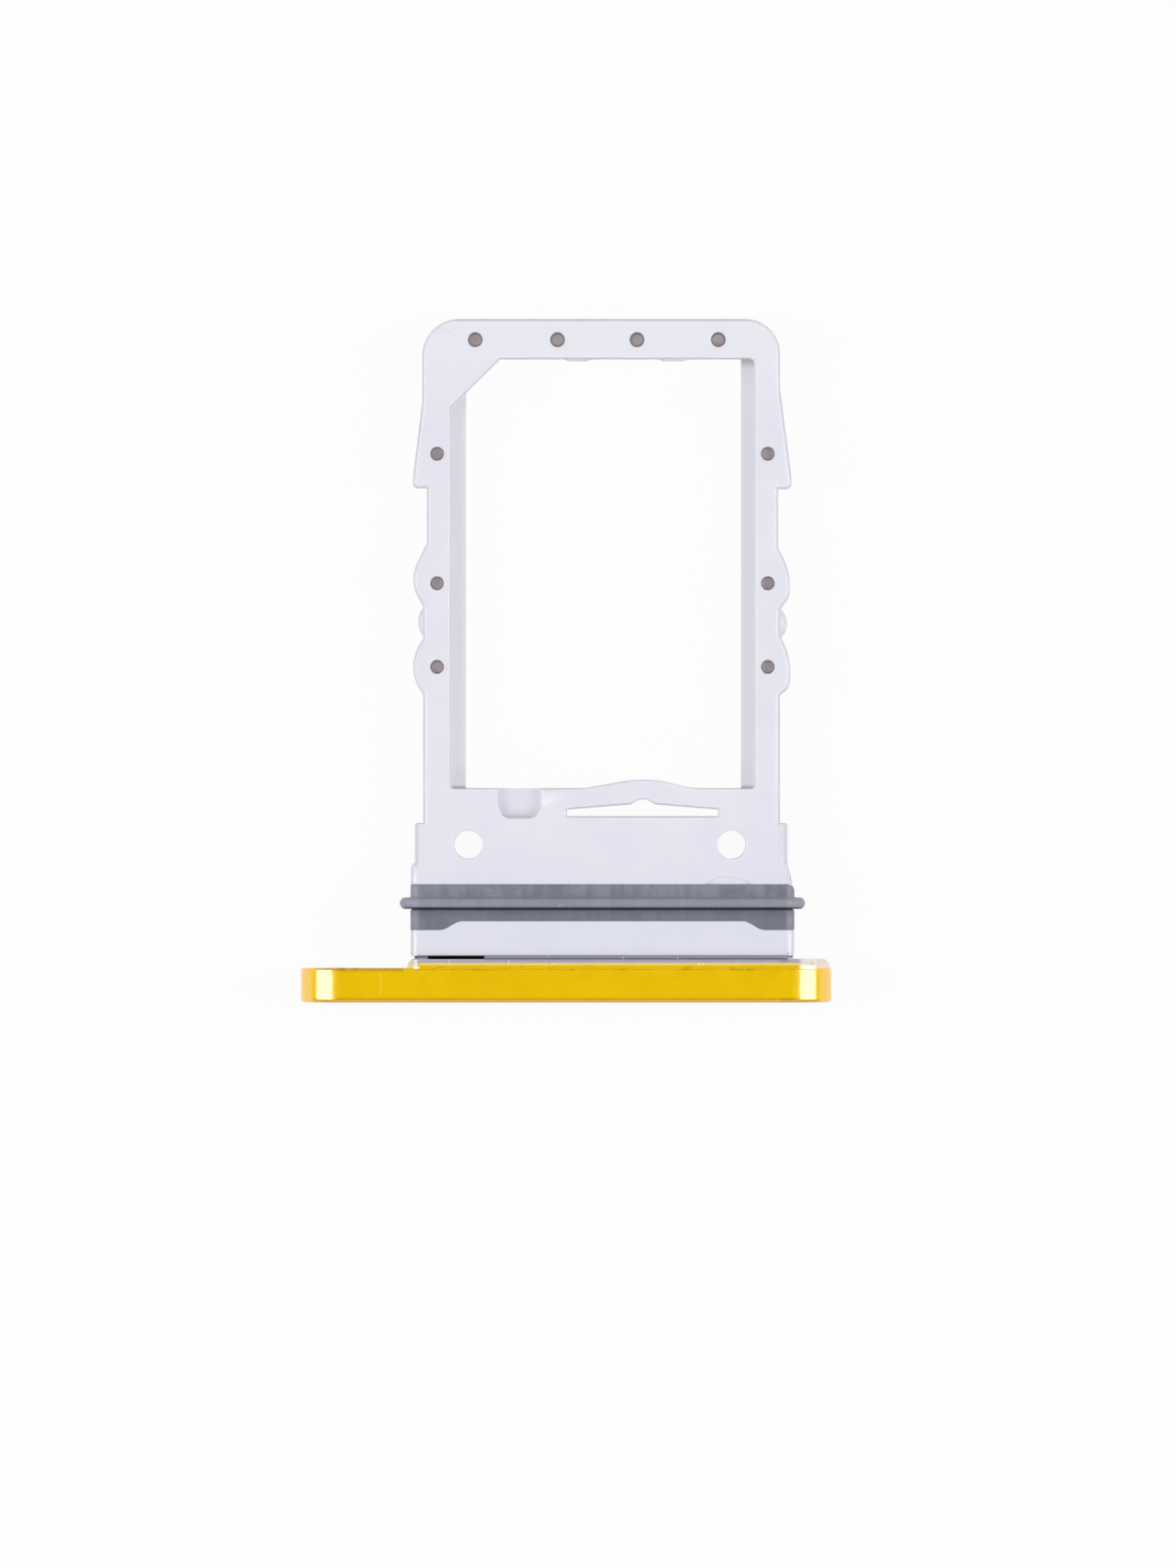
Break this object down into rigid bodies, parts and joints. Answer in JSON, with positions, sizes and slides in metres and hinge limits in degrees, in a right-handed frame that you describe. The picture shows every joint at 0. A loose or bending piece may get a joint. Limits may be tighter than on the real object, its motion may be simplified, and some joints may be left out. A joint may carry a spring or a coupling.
{
  "type": "sim card tray",
  "caption": "Slide-out card tray: white frame with a keyed card pocket and sprung wall, grey seal round the neck and a yellow metal cap with an eject hole.",
  "frame": {"origin": "middle of the neck, in the plane of the cap's rear shoulder, where the tray is guided into its slot", "axes": "+X across the tray, away from the eject hole; +Y from the cap to the far end of the card pocket; +Z out of the open face of the pocket"},
  "size_m": [0.0155, 0.0199, 0.0024],
  "materials": {
    "carrier_plastic": "fine satin moulding, faintly lilac white",
    "insert_steel": "rolled sheet, dull",
    "seal_rubber": "matte silicone",
    "cap_metal": "satin yellow anodised, bare at the rear edge of the pad"
  },
  "bodies": {
    "root": {"carrier": "carrier_plastic", "steel_insert": "insert_steel", "seal": "seal_rubber", "cap": "cap_metal"}
  },
  "joints": []
}
